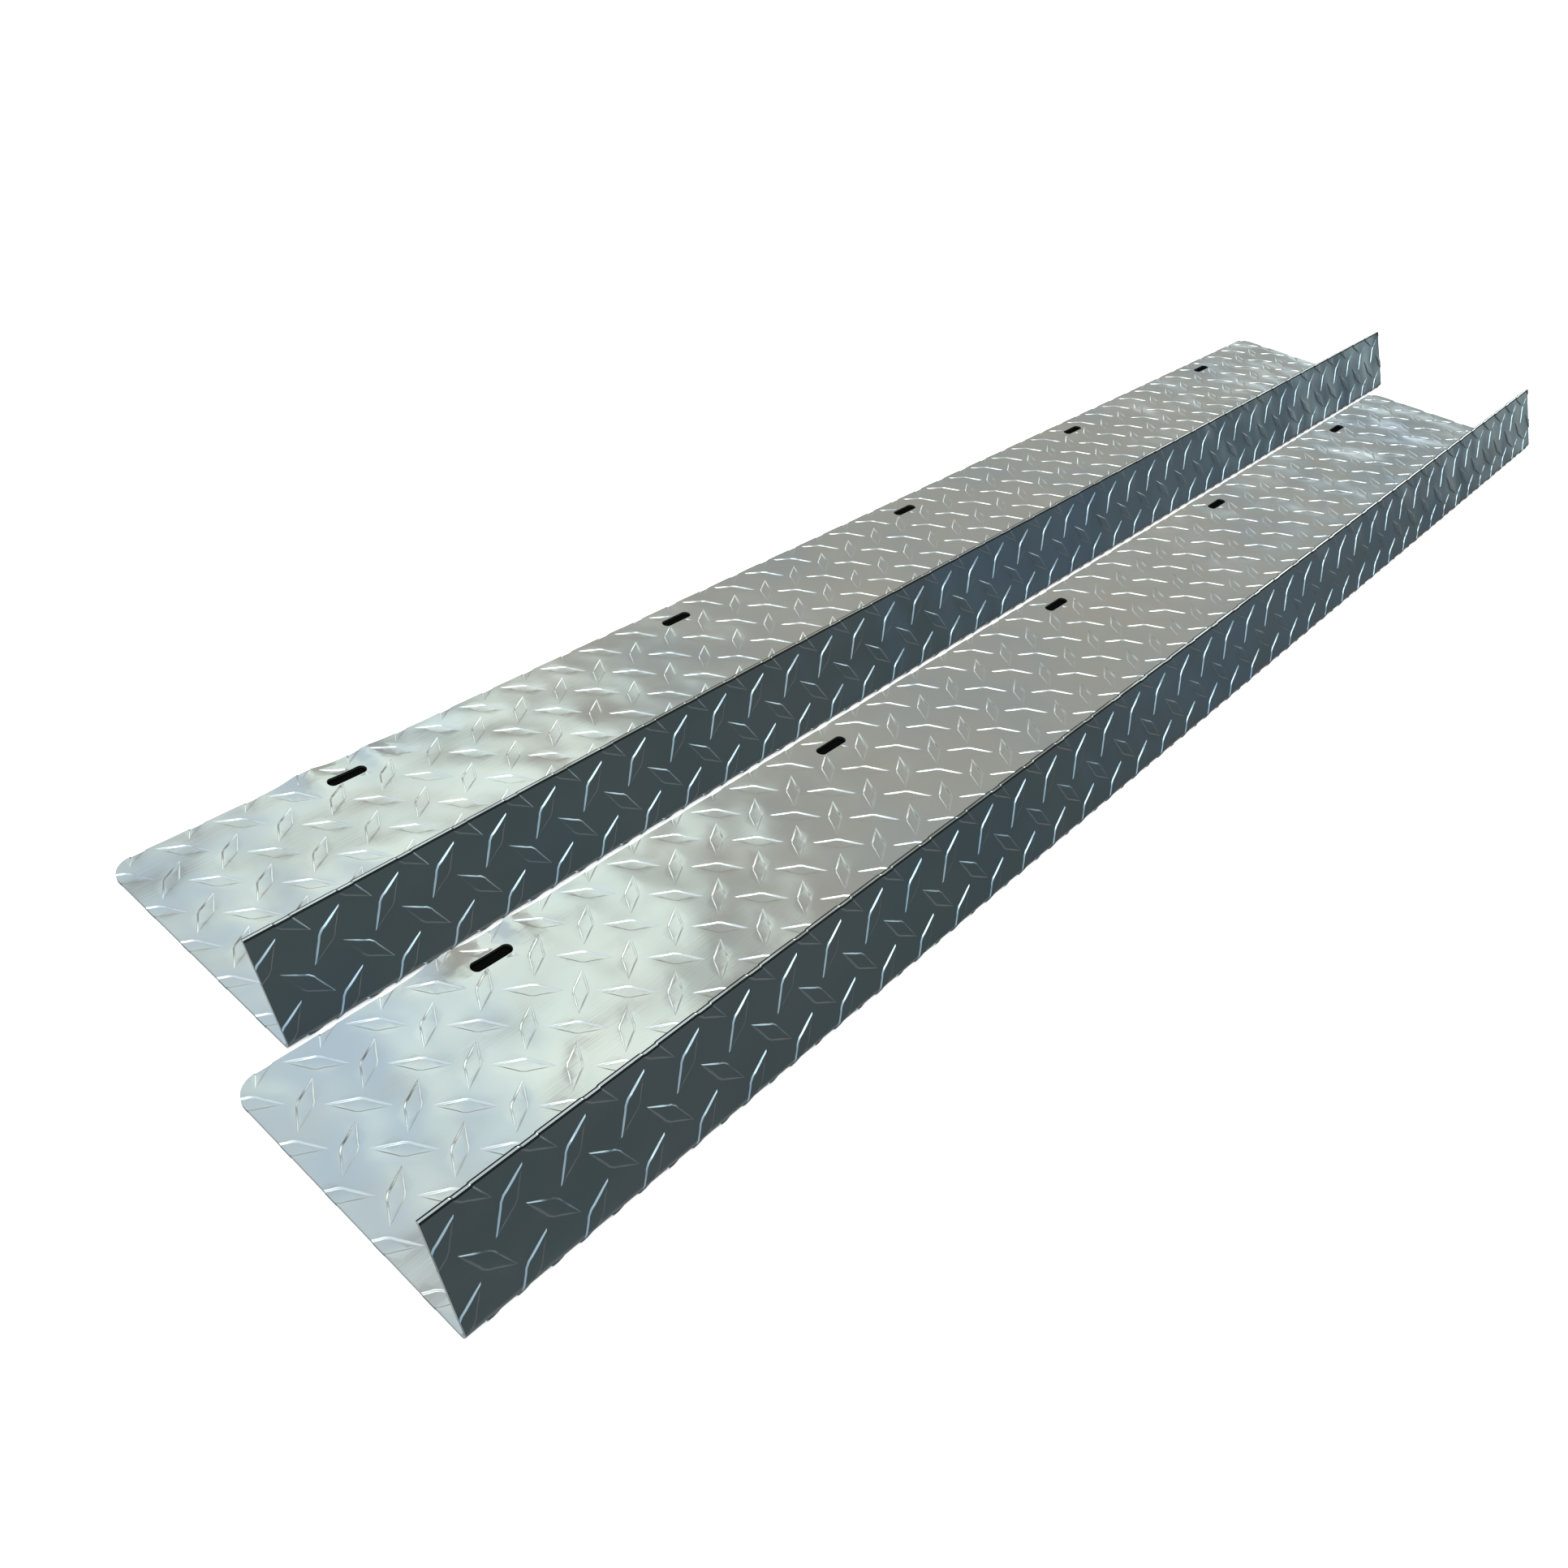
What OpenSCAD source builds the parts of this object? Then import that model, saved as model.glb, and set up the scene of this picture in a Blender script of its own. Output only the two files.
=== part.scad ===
// A pair of folded angle rails of thin aluminium tread plate, lying side by side.
// X runs along the rails, Y across them towards the slotted edges, and Z is up from the ground.
// The origin is on the ground, under the middle of the pair.

/* [Rail] */
// Length of each rail
rail_length = 1270; // [1016:1:1524]
// Width of the flat leg, from the sharp corner of the fold to the slotted edge
wide_leg = 160; // [120:1:220]
// Width of the raised leg, from the sharp corner of the fold to its free edge
short_leg = 57; // [40:0.5:80]
// Thickness of the sheet between its raised lugs
sheet = 1.6; // [1.2:0.01:3]
// Radius on the inside of the fold
fold_inside_r = 1.6; // [1:0.1:4]
// Angle that the fold leaves between the two legs
leg_angle = 65; // [50:1:90]
// Radius of the two free corners of the wide leg
corner_r = 12.7; // [5:0.1:25]

/* [Slots] */
// Number of slots in each rail
slot_count = 5; // [1:1:5]
// Distance from one slot to the next
slot_pitch = 254; // [200:1:254]
// Length of a slot over its round ends
slot_length = 24; // [16:0.1:30]
// Width of a slot
slot_width = 7; // [5:0.5:9]
// Distance from the slotted edge to the middle of the slots
slot_edge = 15.4; // [12:0.1:22]

/* [Pair] */
// Gap on the ground between the far rail's fold and the near rail's slotted edge
pair_gap = 2; // [1:0.5:40]
// How far the near rail lies to the left of the far rail
stagger = 30; // [0:1:100]

/* [Hidden] */
$fn = 64;

// How far a cutter runs past the faces it goes through
cut_over = 1;

fold_outside_r = fold_inside_r + sheet;
// How far the sheet is turned at the fold, and in how many short flats
fold_turn = 180 - leg_angle;
fold_steps = 14;
// From the sharp corner to the line where each leg leaves the fold
setback = fold_outside_r / tan(leg_angle / 2);
// The fold's foremost point, measured from the sharp corner
fold_front = setback - fold_outside_r;
// From one rail's sharp corner to the other's
pair_pitch = wide_leg - fold_front + pair_gap;
// The pair's whole width runs from the near rail's fold to the far rail's slotted edge
pair_width = pair_pitch + wide_leg - fold_front;

near_corner_y = -pair_width / 2 - fold_front;
far_corner_y = near_corner_y + pair_pitch;
near_end_x = -(rail_length + stagger) / 2;
far_end_x = near_end_x + stagger;

// Points along the fold at a distance r from its centre, from the wide leg round to the short one
function fold_arc(r) = [
    for (i = [0 : fold_steps])
        let (a = 270 - fold_turn * i / fold_steps)
            [setback + r * cos(a), fold_outside_r + r * sin(a)]
];

// The same points in the opposite order
function reversed(points) = [for (i = [len(points) - 1 : -1 : 0]) points[i]];

// A point of the short leg: how far from the sharp corner, and how deep below its outer face
function on_short_leg(along, depth) = [
    along * cos(leg_angle) + depth * sin(leg_angle),
    along * sin(leg_angle) - depth * cos(leg_angle),
];

// Cross-section: the sharp corner at the origin, the wide leg along +X, the short leg leaning over it
module rail_section() {
    polygon(concat(
        [[wide_leg, 0]],
        fold_arc(fold_outside_r),
        [on_short_leg(short_leg, 0), on_short_leg(short_leg, sheet)],
        reversed(fold_arc(fold_inside_r)),
        [[wide_leg, sheet]]
    ));
}

// Cutter for one slot, with its length along X
module slot_cutter() {
    straight = slot_length - slot_width;
    depth = sheet + 2 * cut_over;
    translate([0, 0, -cut_over]) {
        for (side = [-1, 1])
            translate([side * straight / 2, 0, 0])
                cylinder(h = depth, d = slot_width);
        translate([-straight / 2, -slot_width / 2, 0])
            cube([straight, slot_width, depth]);
    }
}

// Cutter that rounds a corner whose point is at the origin and whose plate lies towards +X and -Y
module corner_cutter() {
    depth = sheet + 2 * cut_over;
    translate([0, 0, -cut_over])
        difference() {
            translate([-cut_over, -corner_r, 0])
                cube([corner_r + cut_over, corner_r + cut_over, depth]);
            translate([corner_r, -corner_r, -cut_over])
                cylinder(h = depth + 2 * cut_over, r = corner_r);
        }
}

// One rail, from its left end at X = 0, with the sharp corner of its fold along the X axis
module rail() {
    first_slot = (rail_length - (slot_count - 1) * slot_pitch) / 2;
    difference() {
        rotate([90, 0, 90])
            linear_extrude(rail_length)
                rail_section();
        for (i = [0 : slot_count - 1])
            translate([first_slot + i * slot_pitch, wide_leg - slot_edge, 0])
                slot_cutter();
        translate([0, wide_leg, 0])
            corner_cutter();
        translate([rail_length, wide_leg, 0])
            mirror([1, 0, 0])
                corner_cutter();
    }
}

module far_rail() {
    color("silver")
        translate([far_end_x, far_corner_y, 0])
            rail();
}

module near_rail() {
    color("lightgray")
        translate([near_end_x, near_corner_y, 0])
            rail();
}

far_rail();
near_rail();
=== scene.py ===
import math

import bmesh
import bpy
from mathutils import Matrix, Vector, noise


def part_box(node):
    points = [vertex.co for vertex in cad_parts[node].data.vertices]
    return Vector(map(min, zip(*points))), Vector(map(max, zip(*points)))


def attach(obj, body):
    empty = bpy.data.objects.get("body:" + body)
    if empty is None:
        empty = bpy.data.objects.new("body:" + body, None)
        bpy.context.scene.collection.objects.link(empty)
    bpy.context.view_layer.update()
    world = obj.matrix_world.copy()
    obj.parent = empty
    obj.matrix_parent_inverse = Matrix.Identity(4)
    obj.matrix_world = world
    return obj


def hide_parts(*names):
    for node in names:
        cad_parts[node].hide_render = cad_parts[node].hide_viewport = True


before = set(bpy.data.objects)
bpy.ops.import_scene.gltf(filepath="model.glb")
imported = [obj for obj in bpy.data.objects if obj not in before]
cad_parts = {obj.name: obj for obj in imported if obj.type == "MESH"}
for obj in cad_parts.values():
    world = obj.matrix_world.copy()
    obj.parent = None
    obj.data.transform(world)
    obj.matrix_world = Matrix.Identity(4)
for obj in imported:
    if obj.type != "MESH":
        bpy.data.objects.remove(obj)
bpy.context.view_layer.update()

scene = bpy.context.scene
scene.view_settings.view_transform = "Standard"

# ---------------------------------------------------------------- camera
# It stands low, close beyond the left ends of the rails, and looks along them.
# Its place is measured from the far rail's left end, at the fold.
far_low, far_high = (Vector(corner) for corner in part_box("far_rail"))
camera_offset = Vector((-0.1718, -0.3803, 0.4679))
camera_azimuth = math.radians(52.98)
camera_drop = math.radians(38.16)
camera_roll = math.radians(6.985)

camera_data = bpy.data.cameras.new("camera")
camera_data.sensor_width = 36
camera_data.lens = 30.36
camera = bpy.data.objects.new("camera", camera_data)
scene.collection.objects.link(camera)
camera.matrix_world = (
    Matrix.Translation(far_low + camera_offset)
    @ Matrix.Rotation(-camera_azimuth, 4, "Z")
    @ Matrix.Rotation(math.pi / 2 - camera_drop, 4, "X")
    @ Matrix.Rotation(camera_roll, 4, "Z")
)
scene.camera = camera

# ---------------------------------------------------------------- rails
# Each rail is one strip of bright aluminium tread plate, cut, punched with five slots and folded once.
# The lugs are pressed through the sheet: they are hollows inside the fold and stand up outside it.
# As in the real work, the strip gets its lugs and slots while it is flat, and is bent last.
sheet = 0.0016
fold_inside_r = 0.0016
leg_angle = math.radians(65)
fold_outside_r = fold_inside_r + sheet
# The outer faces would meet in a sharp corner: the bend starts setback away from it along each leg,
# and its round front lies fold_front behind it
setback = fold_outside_r / math.tan(leg_angle / 2)
fold_front = setback - fold_outside_r

# Each leg is measured from the sharp corner to its free edge
rail_length = far_high.x - far_low.x
wide_leg = far_high.y - far_low.y + fold_front
short_leg = far_high.z / math.sin(leg_angle)
corner_r = 0.0127

slot_count = 5
slot_pitch = 0.254
slot_length = 0.024
slot_width = 0.007
slot_edge = 0.0154
first_slot = (rail_length - (slot_count - 1) * slot_pitch) / 2
slot_centres = [Vector((first_slot + i * slot_pitch, wide_leg - slot_edge, 0)) for i in range(slot_count)]

# The lugs stand at the points of a square grid turned by 45 degrees, each at right angles to its neighbours
lug_step = 0.03128
lug_start_x = 0.0027
lug_start_y = 0.1472
lug_height = 0.0006
site_step = lug_step / math.sqrt(2)
# Each lug lies in an oblong cell of sheet, and small squares fill the gaps between the crossed cells
cell_half_width = 0.0067
cell_half_length = site_step - cell_half_width
# A quarter of a lug's outline, from its shoulder to its tip: along the lug, across it
lug_quarter = [(0.0014, 0.0034), (0.0034, 0.0027), (0.0076, 0.0016)]
lug_tip = 0.0137
# The lug's side, from the sheet to its flat middle: how far outside the outline, its share of the height
lug_side = [(0.0005, 0.0), (0.00024, 0.14), (-0.00024, 0.86), (-0.0005, 1.0)]
# How far the outline grows along the lug, at its shoulders and at its tips, for each step across it
shoulder_growth = 0.3
tip_growth = 1.5


def lug_ring(bm, spread, depth):
    """One closed loop of vertices round a lug, moved out from its outline by spread and down by depth."""
    quarter = [(u + shoulder_growth * spread, v + spread) for u, v in lug_quarter]
    side = quarter + [(lug_tip + tip_growth * spread, 0.0)] + [(u, -v) for u, v in reversed(quarter)]
    loop = side + [(-u, -v) for u, v in side]
    ring = [bm.verts.new((u, v, -depth)) for u, v in loop]
    return [bm.edges.new((ring[i - 1], ring[i])) for i in range(len(ring))]


def lug_cell(filler_side):
    """A flat oblong of sheet with one lug pressed along X in its middle, and a square beside one corner."""
    bm = bmesh.new()
    a, b = cell_half_length, cell_half_width
    rim = [(a, -b), (a, b), (b, b), (-b, b), (-a, b), (-a, -b), (-b, -b), (b, -b)]
    ring = [bm.verts.new((u, v, 0)) for u, v in rim]
    loops = [[bm.edges.new((ring[i - 1], ring[i])) for i in range(len(ring))]]
    for spread, share in lug_side:
        loops.append(lug_ring(bm, spread, share * lug_height))
    for outer, inner in zip(loops, loops[1:]):
        bmesh.ops.bridge_loops(bm, edges=outer + inner)
    bmesh.ops.contextual_create(bm, geom=loops[-1])
    bmesh.ops.create_grid(
        bm, x_segments=1, y_segments=1, size=(a - b) / 2,
        matrix=Matrix.Translation(((a + b) / 2, filler_side * (a + b) / 2, 0)),
    )
    return bm


def tread_sheet():
    """Flat sheet, more than is needed: X along the strip, Y towards its slotted edge, lugs pressed down."""
    spare_rows = 2
    weld_distance = 0.00003
    cell = lug_cell(1)
    crossed = lug_cell(-1)
    turn = Matrix.Rotation(math.radians(-45), 4, "Z")
    cell.transform(turn)
    # The next lug lies along the first one's axis, and is turned across it
    crossed.transform(
        turn @ Matrix.Translation((site_step, 0, 0)) @ Matrix.Rotation(math.radians(90), 4, "Z")
    )
    pair = bpy.data.meshes.new("lug_pair")
    crossed.to_mesh(pair)
    crossed.free()
    cell.from_mesh(pair)
    cell.to_mesh(pair)
    cell.free()

    strip = bpy.data.objects.new("strip", pair)
    scene.collection.objects.link(strip)
    for name, length, step in (
        ("along", rail_length, (lug_step, 0, 0)),
        ("across", wide_leg + short_leg, (0, -lug_step, 0)),
    ):
        array = strip.modifiers.new(name, "ARRAY")
        array.count = math.ceil(length / lug_step) + 2 * spare_rows
        array.use_relative_offset = False
        array.use_constant_offset = True
        array.constant_offset_displace = step
    bm = bmesh.new()
    bm.from_object(strip, bpy.context.evaluated_depsgraph_get())
    bpy.data.objects.remove(strip)
    start = Vector((lug_start_x - spare_rows * lug_step, lug_start_y + spare_rows * lug_step, 0))
    bmesh.ops.translate(bm, vec=start, verts=bm.verts[:])
    bmesh.ops.remove_doubles(bm, verts=bm.verts[:], dist=weld_distance)
    return bm


# A vertex this close to a cutting plane or a border counts as on it
on_plane = 1e-6


def cut(bm, at, normal, clear=False):
    """Cuts every face along a plane, and with clear takes away the side that its normal points to."""
    bmesh.ops.bisect_plane(
        bm, geom=bm.verts[:] + bm.edges[:] + bm.faces[:], dist=on_plane,
        plane_co=at, plane_no=normal, clear_outer=clear,
    )


def cut_near(bm, centre, at, normal):
    """Cuts along a plane, but only through the faces close to centre."""
    reach = 0.035
    beside = [f for f in bm.faces if (f.calc_center_median() - centre).length < reach]
    edges = {e for f in beside for e in f.edges}
    verts = {v for f in beside for v in f.verts}
    bmesh.ops.bisect_plane(bm, geom=[*beside, *edges, *verts], dist=on_plane, plane_co=at, plane_no=normal)


def moved_out(extruded):
    """The new vertices of an extrusion."""
    return [part for part in extruded["geom"] if isinstance(part, bmesh.types.BMVert)]


def stand_up(bm, centre):
    """Makes a flat outline a bar through the sheet at centre."""
    depth = 0.01
    top = moved_out(bmesh.ops.extrude_face_region(bm, geom=bm.faces[:]))
    bmesh.ops.translate(bm, vec=(0, 0, depth), verts=top)
    bmesh.ops.translate(bm, vec=centre + Vector((0, 0, -depth / 2)), verts=bm.verts[:])
    bmesh.ops.recalc_face_normals(bm, faces=bm.faces[:])
    return bm


def slot_cutter(centre):
    """A round-ended bar along X, through the sheet."""
    bm = bmesh.new()
    bmesh.ops.create_circle(bm, cap_ends=True, segments=30, radius=slot_width / 2)
    half_straight = (slot_length - slot_width) / 2
    for vert in bm.verts:
        vert.co.x += math.copysign(half_straight, vert.co.x)
    return stand_up(bm, centre)


def corner_cutter(corner, side):
    """What is cut off a square corner to round it: side is 1 where the sheet lies towards +X."""
    bm = bmesh.new()
    over = 0.002
    # A square whose inner corner is scooped out by the corner's own arc
    bmesh.ops.create_circle(bm, segments=64, radius=corner_r)
    for vert in bm.verts:
        vert.co += Vector((corner_r, -corner_r, 0))
    unwanted = [v for v in bm.verts if v.co.x > corner_r + on_plane or v.co.y < -corner_r - on_plane]
    bmesh.ops.delete(bm, geom=unwanted, context="VERTS")
    extra = [(corner_r, over), (-over, over), (-over, -corner_r)]
    ends = sorted((v for v in bm.verts if len(v.link_edges) == 1), key=lambda v: -v.co.x)
    path = [ends[0]] + [bm.verts.new((x, y, 0)) for x, y in extra] + [ends[1]]
    for one, other in zip(path, path[1:]):
        bm.edges.new((one, other))
    bmesh.ops.contextual_create(bm, geom=bm.edges[:])
    for vert in bm.verts:
        vert.co.x *= side
    return stand_up(bm, corner)


def fold(point):
    """Where a point of the flat sheet comes to lie, from the sharp corner of the fold at the left end."""
    x, y, z = point
    inward = sheet + z
    if y >= setback:
        return Vector((x, y, inward))
    if y <= -setback:
        return Vector((
            x,
            -y * math.cos(leg_angle) + inward * math.sin(leg_angle),
            -y * math.sin(leg_angle) - inward * math.cos(leg_angle),
        ))
    turned = (math.pi - leg_angle) * (setback - y) / (2 * setback)
    radius = fold_outside_r - inward
    return Vector((x, setback - radius * math.sin(turned), fold_outside_r - radius * math.cos(turned)))


# The strip is trimmed to its size, and gets close-set rows of edges where it will be bent
flat = tread_sheet()
cut(flat, (0, 0, 0), (-1, 0, 0), clear=True)
cut(flat, (rail_length, 0, 0), (1, 0, 0), clear=True)
cut(flat, (0, wide_leg, 0), (0, 1, 0), clear=True)
cut(flat, (0, -short_leg, 0), (0, -1, 0), clear=True)
fold_rows = 10
for row in range(fold_rows + 1):
    cut(flat, (0, setback - 2 * setback * row / fold_rows, 0), (0, 1, 0))

# Each slot has a narrow flat border, pressed out of any lug that it meets
flat_border = 0.001
along = Vector((1, 0, 0))
across = Vector((0, 1, 0))
border = Vector((slot_length / 2 + flat_border, slot_width / 2 + flat_border, 0))
for centre in slot_centres:
    for side in (along, -along, across, -across):
        for spread in (0, flat_border):
            cut_near(flat, centre, centre + side * (abs(side.dot(border)) + spread), side)
    for vert in flat.verts:
        away = vert.co - centre
        if abs(away.x) < border.x + on_plane and abs(away.y) < border.y + on_plane:
            vert.co.z = 0

# Close rows of edges beyond the first slot's border, where the sheet was knocked
knocked = slot_centres[0]
row_step = 0.004
rows_along = range(-8, 9)
rows_across = (-4, -3, -2, 2, 3)
for row in rows_along:
    if abs(row * row_step) > border.x:
        cut_near(flat, knocked, knocked + along * (row * row_step), along)
for row in rows_across:
    cut_near(flat, knocked, knocked + across * (row * row_step), across)

# The back of the sheet follows its front, lugs included
back = moved_out(bmesh.ops.extrude_face_region(flat, geom=flat.faces[:]))
bmesh.ops.translate(flat, vec=(0, 0, -sheet), verts=back)
bmesh.ops.recalc_face_normals(flat, faces=flat.faces[:])
flat_mesh = bpy.data.meshes.new("flat_rail")
flat.to_mesh(flat_mesh)
flat.free()
flat_rail = bpy.data.objects.new("flat_rail", flat_mesh)
scene.collection.objects.link(flat_rail)

# The slots are punched, and the two corners of the slotted edge are rounded
tools = [slot_cutter(centre) for centre in slot_centres]
tools += [corner_cutter(Vector((0, wide_leg, 0)), 1), corner_cutter(Vector((rail_length, wide_leg, 0)), -1)]
punches = bmesh.new()
punch_mesh = bpy.data.meshes.new("punches")
for tool in tools:
    tool.to_mesh(punch_mesh)
    punches.from_mesh(punch_mesh)
    tool.free()
punches.to_mesh(punch_mesh)
punches.free()
punch = bpy.data.objects.new("punches", punch_mesh)
scene.collection.objects.link(punch)
punching = flat_rail.modifiers.new("punching", "BOOLEAN")
punching.operation = "DIFFERENCE"
punching.solver = "EXACT"
punching.object = punch
rail = bmesh.new()
rail.from_object(flat_rail, bpy.context.evaluated_depsgraph_get())
bpy.data.objects.remove(flat_rail)
bpy.data.objects.remove(punch)

# The cut edge of the short leg has a blunted outer corner, bright between two dark lines of painted shade
blunted = 0.0006
painted_dark_line = 0.0012
cut(rail, (0, blunted - short_leg, 0), (0, 1, 0))
cut(rail, (0, blunted + painted_dark_line - short_leg, 0), (0, 1, 0))

# The three materials, in the order that they are added below: the inner face is bright, the outer one
# duller and dimmed further with painted shade, and the dark lines and the walls of the slots are metal
# painted near-black as shade
bright, painted_dark_edge, dull_and_shaded_back = range(3)
hair = 1e-5
edge_margin = 0.001
for face in rail.faces:
    centre = face.calc_center_median()
    at_edge = centre.y < hair - short_leg
    # A thin strip of the outer face under the cut edge is painted dark as shade
    shade_line_under_edge = 0 < centre.y - blunted + short_leg < painted_dark_line and centre.z < hair - sheet
    upright = abs(face.normal.z) < 0.1
    among_slots = edge_margin < wide_leg - centre.y < slot_edge + slot_width
    between_corners = corner_r < centre.x < rail_length - corner_r
    if at_edge or shade_line_under_edge or (upright and among_slots and between_corners):
        face.material_index = painted_dark_edge
    # The outer face: a copy of the metal with its colour dimmed, painted shade
    elif centre.z < -sheet / 2 and centre.y > blunted - short_leg:
        face.material_index = dull_and_shaded_back
    else:
        face.material_index = bright
for vert in rail.verts:
    if vert.co.y < hair - short_leg and vert.co.z < hair - sheet:
        vert.co.z += blunted

# The sheet was knocked up at its edge on both sides of the first slot, and its slotted edge isn't straight
edge_wander = 0.0005
edge_step = 0.017
wander_row = (0.5, 3.0)
# Each bump: how far from the first slot, how far in from the edge, its reach along and across, its height
bumps = [(-0.017, -0.001, 0.012, 0.013, 0.0030), (0.022, 0.002, 0.008, 0.016, 0.0012)]
for vert in rail.verts:
    x, y, z = vert.co
    lift = 0
    for beside, inward, reach_x, reach_y, height in bumps:
        away = Vector(((x - first_slot - beside) / reach_x, (y - wide_leg + inward) / reach_y))
        lift += height * math.exp(-away.length_squared)
    if y > wide_leg - hair:
        y -= edge_wander * abs(noise.noise(Vector((x / edge_step, *wander_row))))
    vert.co = fold((x, y, z)) + Vector((0, 0, lift))
bmesh.ops.triangulate(rail, faces=[f for f in rail.faces if len(f.verts) > 4])
bmesh.ops.recalc_face_normals(rail, faces=rail.faces[:])
for face in rail.faces:
    face.smooth = True
rail_mesh = bpy.data.meshes.new("rail")
rail.to_mesh(rail_mesh)
rail.free()
rail_mesh.set_sharp_from_angle(angle=math.radians(35))


def bright_aluminium(name, shade):
    """Mill-finish aluminium, mottled and slightly wavy, with fine rolling lines along the sheet.

    Its tints are dimmed by shade, in red, green and blue: below 1, this paints shade into the colour.
    """
    material = bpy.data.materials.new(name)
    material.use_nodes = True
    nodes, links = material.node_tree.nodes, material.node_tree.links
    shader = nodes["Principled BSDF"]
    shader.inputs["Metallic"].default_value = 1.0
    place = nodes.new("ShaderNodeTexCoord")

    def cloud(scale, detail, stretch=(1, 1, 1)):
        mapping = nodes.new("ShaderNodeMapping")
        mapping.inputs["Scale"].default_value = stretch
        links.new(place.outputs["Object"], mapping.inputs["Vector"])
        texture = nodes.new("ShaderNodeTexNoise")
        texture.inputs["Scale"].default_value = scale
        texture.inputs["Detail"].default_value = detail
        links.new(mapping.outputs["Vector"], texture.inputs["Vector"])
        return texture.outputs["Fac"]

    def ramp(source, stops):
        node = nodes.new("ShaderNodeValToRGB")
        node.color_ramp.interpolation = "EASE"
        while len(node.color_ramp.elements) < len(stops):
            node.color_ramp.elements.new(0.5)
        for element, (position, colour) in zip(node.color_ramp.elements, stops):
            element.position = position
            element.color = (*colour, 1)
        links.new(source, node.inputs["Fac"])
        return node.outputs["Color"]

    def relief(source, strength, distance):
        bump = nodes.new("ShaderNodeBump")
        bump.inputs["Strength"].default_value = strength
        bump.inputs["Distance"].default_value = distance
        links.new(source, bump.inputs["Height"])
        return bump

    tints = [(0.35, (0.80, 0.85, 0.88)), (0.5, (0.86, 0.88, 0.86)), (0.65, (0.90, 0.89, 0.86))]
    shaded = [(at, [part * dimming for part, dimming in zip(tint, shade)]) for at, tint in tints]
    mottling = ramp(cloud(scale=9, detail=3), shaded)
    links.new(mottling, shader.inputs["Base Color"])
    smoothest, roughest = 0.15, 0.23
    streaks = cloud(scale=30, detail=4, stretch=(0.3, 1, 1))
    gloss = ramp(streaks, [(0.3, (smoothest,) * 3), (0.7, (roughest,) * 3)])
    links.new(gloss, shader.inputs["Roughness"])
    waves = relief(cloud(scale=20, detail=1), strength=1.0, distance=0.0026)
    rolling_lines = cloud(scale=900, detail=2, stretch=(0.04, 1, 1))
    grain = relief(rolling_lines, strength=0.06, distance=0.0004)
    links.new(waves.outputs["Normal"], grain.inputs["Normal"])
    links.new(grain.outputs["Normal"], shader.inputs["Normal"])
    return material


# Near-black metal: painted shade on the short leg's cut edge, on the line under it and on the slot walls
edge_shade_material = bpy.data.materials.new("edge_painted_dark")
edge_shade_material.use_nodes = True
edge_shade_shader = edge_shade_material.node_tree.nodes["Principled BSDF"]
edge_shade_shader.inputs["Base Color"].default_value = (0.045, 0.055, 0.05, 1)
edge_shade_shader.inputs["Metallic"].default_value = 1.0
edge_shade_shader.inputs["Roughness"].default_value = 0.6

for which, node_name, slot_name in (("far", "far_rail", "far_sheet"), ("near", "near_rail", "near_sheet")):
    low = Vector(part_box(node_name)[0])
    mesh = rail_mesh.copy()
    mesh.transform(Matrix.Translation((low.x, low.y - fold_front, 0)))
    mesh.materials.append(bright_aluminium(which + "_bright_face", (1, 1, 1)))
    mesh.materials.append(edge_shade_material)
    # The outer face is the same metal, duller, with its tints dimmed and tinted blue as painted shade
    mesh.materials.append(bright_aluminium(which + "_dull_and_shaded_back", (0.48, 0.60, 0.68)))
    piece = bpy.data.objects.new(node_name + "_tread_plate", mesh)
    piece.visible_glossy = False
    scene.collection.objects.link(piece)
    smooth = piece.modifiers.new("flat_faces_first", "WEIGHTED_NORMAL")
    smooth.mode = "FACE_AREA"
    smooth.keep_sharp = True
    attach(piece, "root")
    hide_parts(node_name)
bpy.data.meshes.remove(rail_mesh)

# ---------------------------------------------------------------- floor
# A plain pale floor, just under the lugs that the rails stand on.
# It is left out of the metal's reflections, which show the soft light of the room instead.
floor_clearance = 0.0001
floor_z = -lug_height - floor_clearance
floor_half_size = 30
floor_bm = bmesh.new()
bmesh.ops.create_grid(
    floor_bm, x_segments=1, y_segments=1, size=floor_half_size,
    matrix=Matrix.Translation((0, 0, floor_z)),
)
floor_mesh = bpy.data.meshes.new("floor")
floor_bm.to_mesh(floor_mesh)
floor_bm.free()
floor = bpy.data.objects.new("floor", floor_mesh)
scene.collection.objects.link(floor)
floor.visible_glossy = False
floor_material = bpy.data.materials.new("pale_floor")
floor_material.use_nodes = True
floor_shader = floor_material.node_tree.nodes["Principled BSDF"]
floor_shader.inputs["Base Color"].default_value = (0.92, 0.92, 0.92, 1)
floor_shader.inputs["Roughness"].default_value = 1.0
floor_shader.inputs["Specular IOR Level"].default_value = 0.0
floor_shader.inputs["Emission Color"].default_value = (1, 1, 1, 1)
floor_shader.inputs["Emission Strength"].default_value = 0.45
floor_mesh.materials.append(floor_material)

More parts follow.
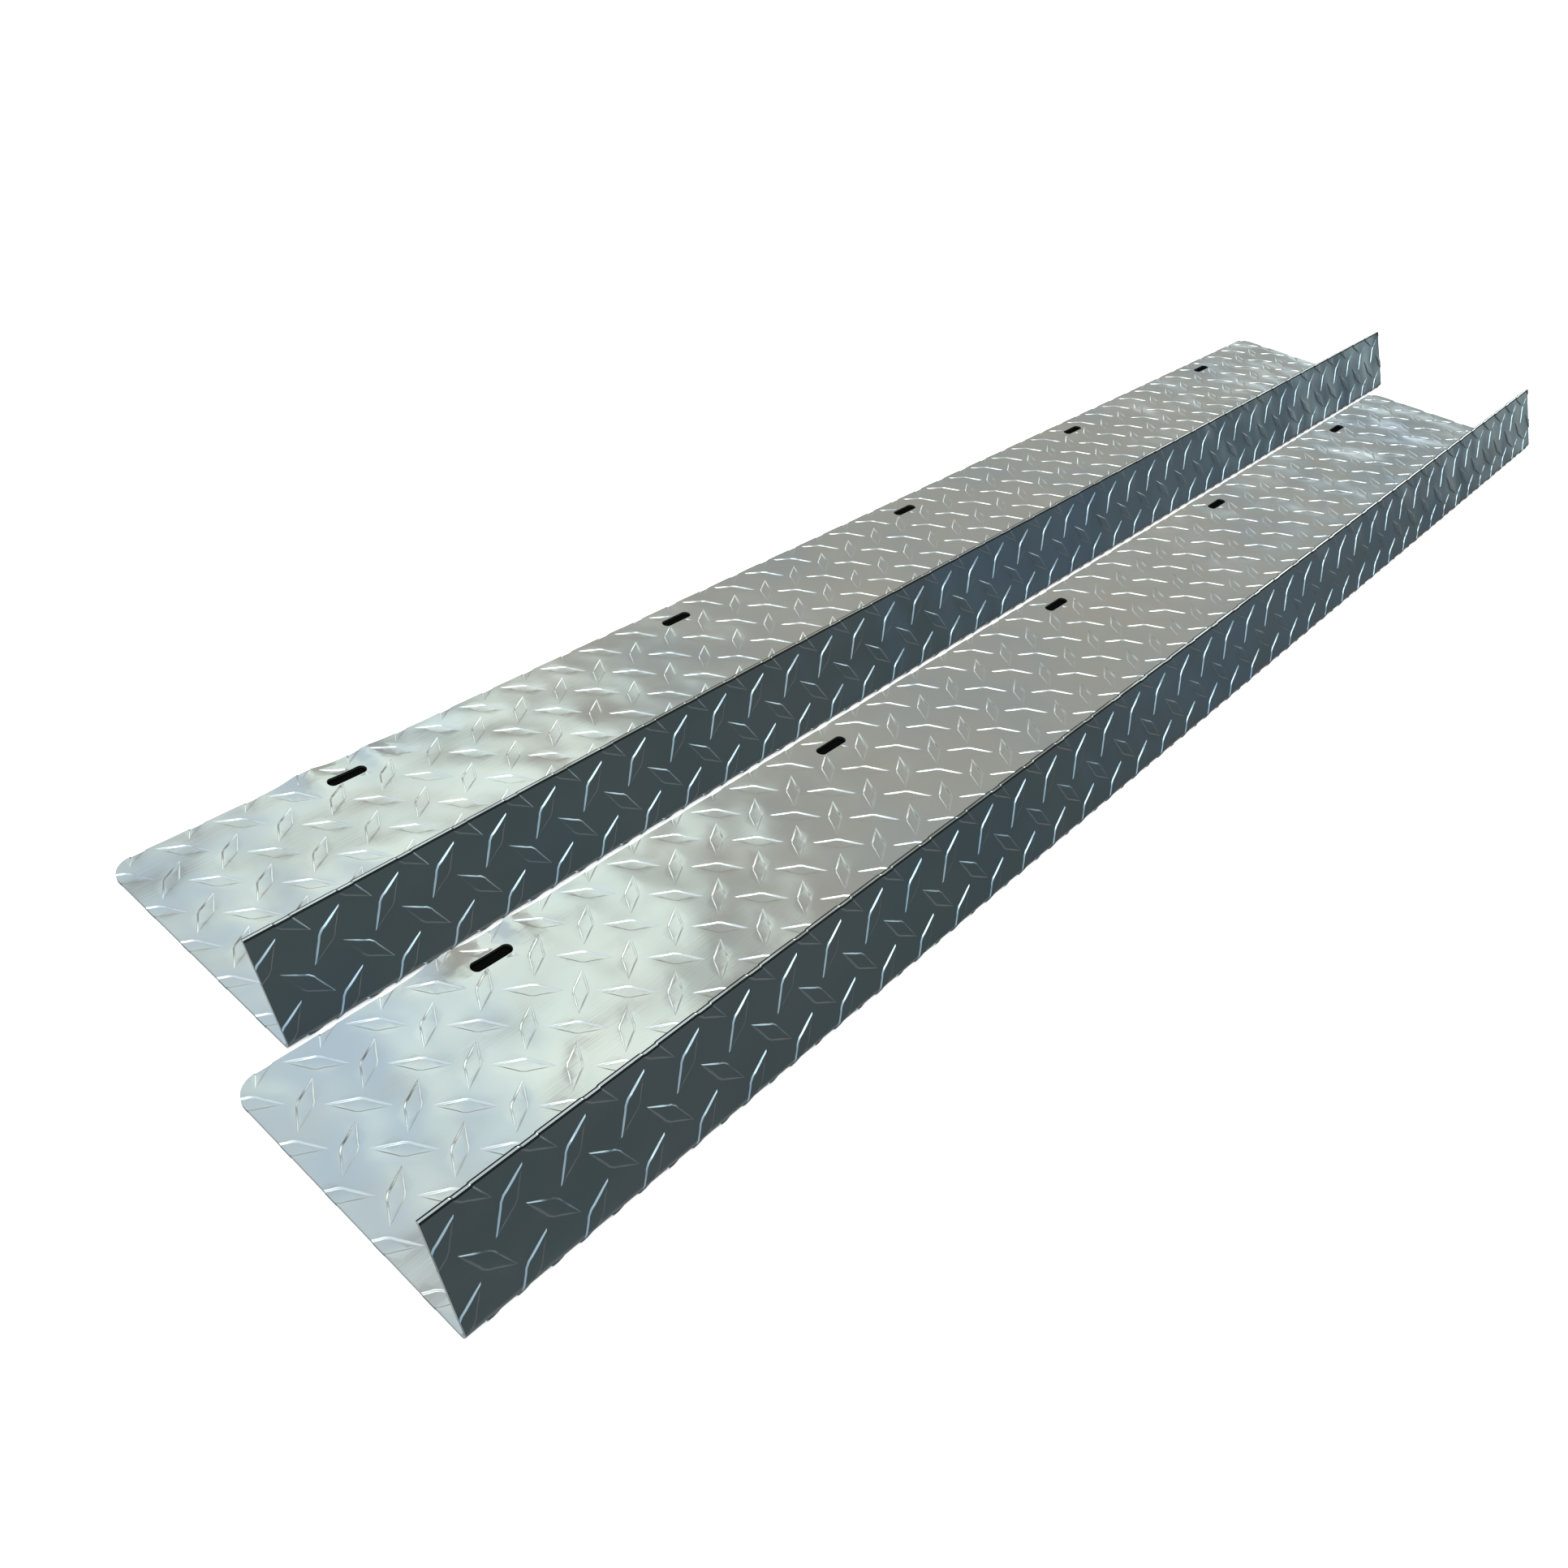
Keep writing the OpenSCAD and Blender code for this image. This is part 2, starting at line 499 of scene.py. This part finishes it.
# A near-black sheet lies hidden under each rail's slotted edge, and shows only through the slots, as
# painted shade in them
shade_sheet_inset = 0.006
shade_sheet_depth = 0.05
shade_sheet_lift = 0.00005
shade_sheet_material = bpy.data.materials.new("dark_mat")
shade_sheet_material.use_nodes = True
shade_sheet_shader = shade_sheet_material.node_tree.nodes["Principled BSDF"]
shade_sheet_shader.inputs["Base Color"].default_value = (0.002, 0.002, 0.002, 1)
shade_sheet_shader.inputs["Roughness"].default_value = 1.0
shade_sheet_shader.inputs["Specular IOR Level"].default_value = 0.0
for node_name in ("far_rail", "near_rail"):
    low, high = (Vector(corner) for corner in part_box(node_name))
    shade_sheet_length = high.x - low.x - 2 * shade_sheet_inset
    centre = Vector(((low.x + high.x) / 2, high.y - shade_sheet_inset - shade_sheet_depth / 2, floor_z + shade_sheet_lift))
    shade_sheet_bm = bmesh.new()
    bmesh.ops.create_grid(
        shade_sheet_bm, x_segments=1, y_segments=1, size=0.5,
        matrix=Matrix.Translation(centre) @ Matrix.Diagonal((shade_sheet_length, shade_sheet_depth, 1, 1)),
    )
    shade_sheet_mesh = bpy.data.meshes.new("shade_sheet")
    shade_sheet_bm.to_mesh(shade_sheet_mesh)
    shade_sheet_bm.free()
    shade_sheet_mesh.materials.append(shade_sheet_material)
    shade_sheet = bpy.data.objects.new(node_name + "_mat", shade_sheet_mesh)
    shade_sheet.visible_glossy = False
    scene.collection.objects.link(shade_sheet)

# ---------------------------------------------------------------- light
# The metal mirrors a soft room: dim round the horizon, with a wide pale ceiling, two lamps in it, and paler
# and darker patches of wall and ground. A lamp that the metal doesn't mirror lights the floor from above.
world = bpy.data.worlds.new("studio")
scene.world = world
world.use_nodes = True
nodes, links = world.node_tree.nodes, world.node_tree.links
background = nodes["Background"]
direction = nodes.new("ShaderNodeTexCoord").outputs["Generated"]
unit = nodes.new("ShaderNodeVectorMath")
unit.operation = "NORMALIZE"
links.new(direction, unit.inputs[0])
horizon_colour = (0.114, 0.121, 0.117)
# Each patch: the way to its middle, the angles where it is full and where it ends, and its colour.
# X points to the rails' right ends, Y to their slotted edges, Z up. Later patches cover earlier ones.
patches = [
    # Walls beyond the right ends and on the left, and two windows high up on the slotted side
    ((0.72, 0.55, 0.48), 28, 48, (0.35, 0.352, 0.325)),
    ((0.95, 0.20, 0.26), 3, 11, (0.235, 0.29, 0.315)),
    ((-0.90, -0.20, 0.25), 30, 60, (0.30, 0.34, 0.37)),
    ((0.38, 0.58, 0.72), 7, 15, (0.86, 0.98, 0.92)),
    ((0.15, 0.60, 0.78), 7, 16, (0.52, 0.62, 0.69)),
    # The ceiling, dimmer straight overhead, and its two lamps
    ((-0.15, -0.35, 0.92), 38, 50, (0.80, 0.92, 0.98)),
    ((0.00, 0.16, 0.98), 10, 20, (0.62, 0.68, 0.70)),
    ((-0.16, -0.26, 0.95), 11, 18, (2.20, 2.40, 2.40)),
    ((0.24, -0.56, 0.79), 15, 23, (2.80, 3.00, 3.00)),
    # Pale light from the left, and a dimmer gap beside the lamps
    ((-0.70, -0.20, 0.68), 16, 28, (0.74, 0.83, 0.90)),
    ((-0.45, -0.58, 0.68), 14, 26, (0.78, 0.87, 0.94)),
    ((0.28, -0.28, 0.92), 8, 18, (0.50, 0.58, 0.64)),
    # Lower down: beyond the slotted edges, on the right, on the left, and twice at the horizon on the right
    ((-0.15, 0.96, 0.20), 14, 24, (0.88, 0.96, 0.92)),
    ((0.92, -0.15, 0.35), 8, 18, (1.35, 1.45, 1.45)),
    ((-0.75, -0.75, 0.40), 12, 34, (0.61, 0.69, 0.75)),
    ((0.86, -0.50, 0.04), 6, 16, (0.14, 0.16, 0.18)),
    ((0.97, -0.22, 0.05), 5, 14, (0.49, 0.53, 0.51)),
    # The ground, with one bright patch at the horizon on the right
    ((0.35, 0.93, -0.10), 15, 30, (0.40, 0.43, 0.42)),
    ((0.10, 0.60, -0.79), 25, 50, (0.35, 0.37, 0.38)),
    ((0.15, -0.60, -0.79), 25, 38, (0.22, 0.21, 0.20)),
    ((0.94, 0.16, -0.22), 10, 20, (0.23, 0.21, 0.19)),
    ((0.96, 0.26, 0.05), 7, 14, (1.20, 1.35, 1.40)),
    ((0.82, -0.12, -0.55), 9, 18, (0.34, 0.25, 0.21)),
    ((0.48, -0.42, -0.76), 9, 18, (0.28, 0.22, 0.18)),
]
# A Mix node's sockets for two colours and for what comes out
under, over, mixed = 6, 7, 2
colour = None
for way, full, end, shade in patches:
    dot = nodes.new("ShaderNodeVectorMath")
    dot.operation = "DOT_PRODUCT"
    dot.inputs[1].default_value = Vector(way).normalized()
    links.new(unit.outputs["Vector"], dot.inputs[0])
    inside = nodes.new("ShaderNodeMapRange")
    inside.interpolation_type = "SMOOTHSTEP"
    inside.inputs["From Min"].default_value = math.cos(math.radians(end))
    inside.inputs["From Max"].default_value = math.cos(math.radians(full))
    links.new(dot.outputs["Value"], inside.inputs["Value"])
    mix = nodes.new("ShaderNodeMix")
    mix.data_type = "RGBA"
    mix.inputs[under].default_value = (*horizon_colour, 1)
    mix.inputs[over].default_value = (*shade, 1)
    links.new(inside.outputs["Result"], mix.inputs["Factor"])
    if colour is not None:
        links.new(colour, mix.inputs[under])
    colour = mix.outputs[mixed]
links.new(colour, background.inputs["Color"])

# Seen directly, past the end of the floor, the room is plain white
backdrop = nodes.new("ShaderNodeBackground")
backdrop.inputs["Color"].default_value = (1, 1, 1, 1)
chosen = nodes.new("ShaderNodeMixShader")
links.new(nodes.new("ShaderNodeLightPath").outputs["Is Camera Ray"], chosen.inputs["Fac"])
links.new(background.outputs["Background"], chosen.inputs[1])
links.new(backdrop.outputs["Background"], chosen.inputs[2])
links.new(chosen.outputs["Shader"], nodes["World Output"].inputs["Surface"])

lamp_data = bpy.data.lights.new("overhead", "AREA")
lamp_data.shape = "DISK"
lamp_data.size = 4
lamp_data.energy = 150
lamp = bpy.data.objects.new("overhead", lamp_data)
lamp.location = (0, 0, 3)
lamp.visible_glossy = False
scene.collection.objects.link(lamp)
